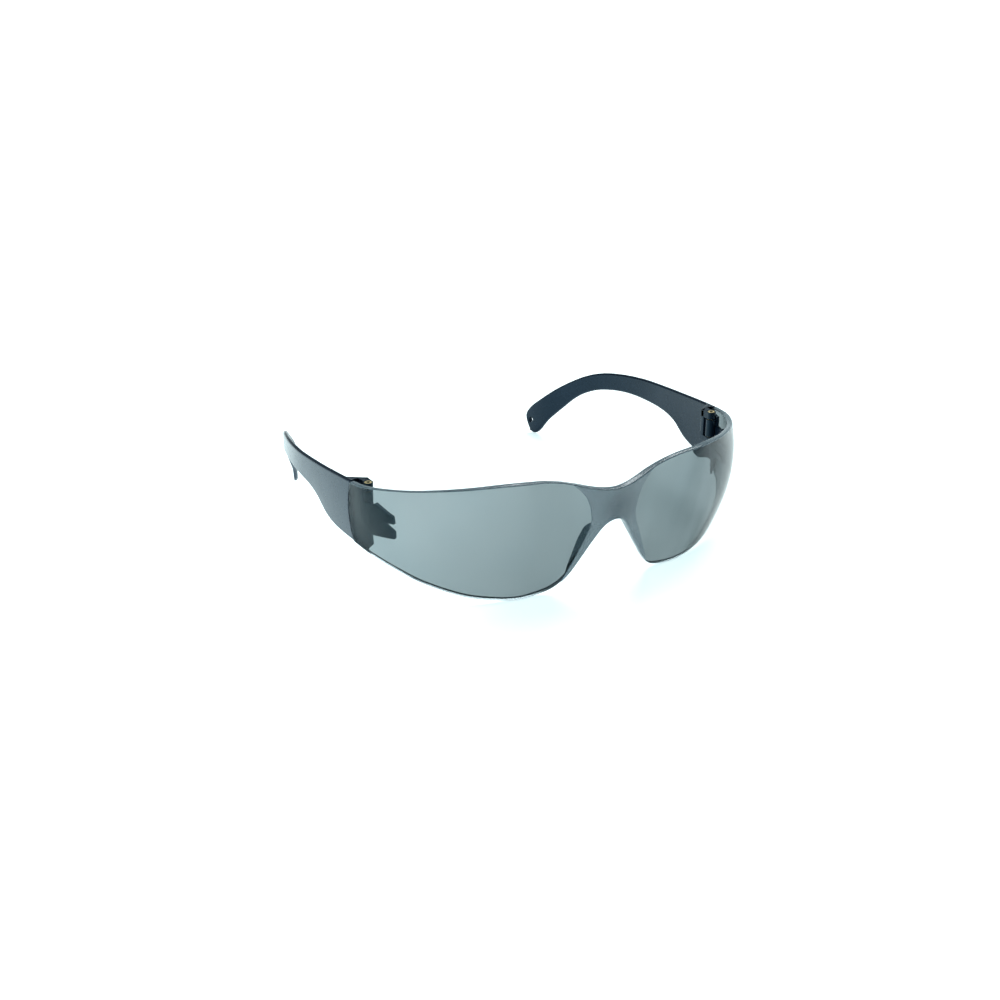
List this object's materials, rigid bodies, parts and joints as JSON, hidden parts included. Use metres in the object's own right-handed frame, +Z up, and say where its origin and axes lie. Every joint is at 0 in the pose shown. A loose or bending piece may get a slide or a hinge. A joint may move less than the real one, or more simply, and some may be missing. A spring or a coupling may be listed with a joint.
{
  "type": "safety glasses",
  "caption": "Wraparound safety glasses: one-piece tinted shield with moulded nose flanges and folding temples with cord holes at the tips.",
  "frame": {"origin": "middle of the part's width and depth, on the surface it stands on, temples open", "axes": "+X towards the wearer's left, +Y from the shield back to the temple tips, +Z up"},
  "size_m": [0.1444, 0.141, 0.0422],
  "materials": {
    "tinted_shield": "polished grey-tinted polycarbonate, frosted on the bridge and nose flanges",
    "endpiece_plastic": "moulded, lightly polished",
    "temple_plastic": "moulded, satin",
    "pin_brass": "drawn tube, cut end"
  },
  "bodies": {
    "front": {"lens_shield": "tinted_shield", "left_endpiece": "endpiece_plastic", "right_endpiece": "endpiece_plastic", "left_hinge_pin": "pin_brass", "right_hinge_pin": "pin_brass"},
    "left_arm": {"left_temple": "temple_plastic"},
    "right_arm": {"right_temple": "temple_plastic"}
  },
  "joints": [
    {"name": "left_temple_fold", "type": "hinge", "parent": "front", "child": "left_arm", "pos_m": [0.0659, -0.03044, 0.03084], "axis": [0, 0, 1], "range_deg": [0, 92]},
    {"name": "right_temple_fold", "type": "hinge", "parent": "front", "child": "right_arm", "pos_m": [-0.0659, -0.03044, 0.03084], "axis": [0, 0, -1], "range_deg": [0, 82]}
  ]
}
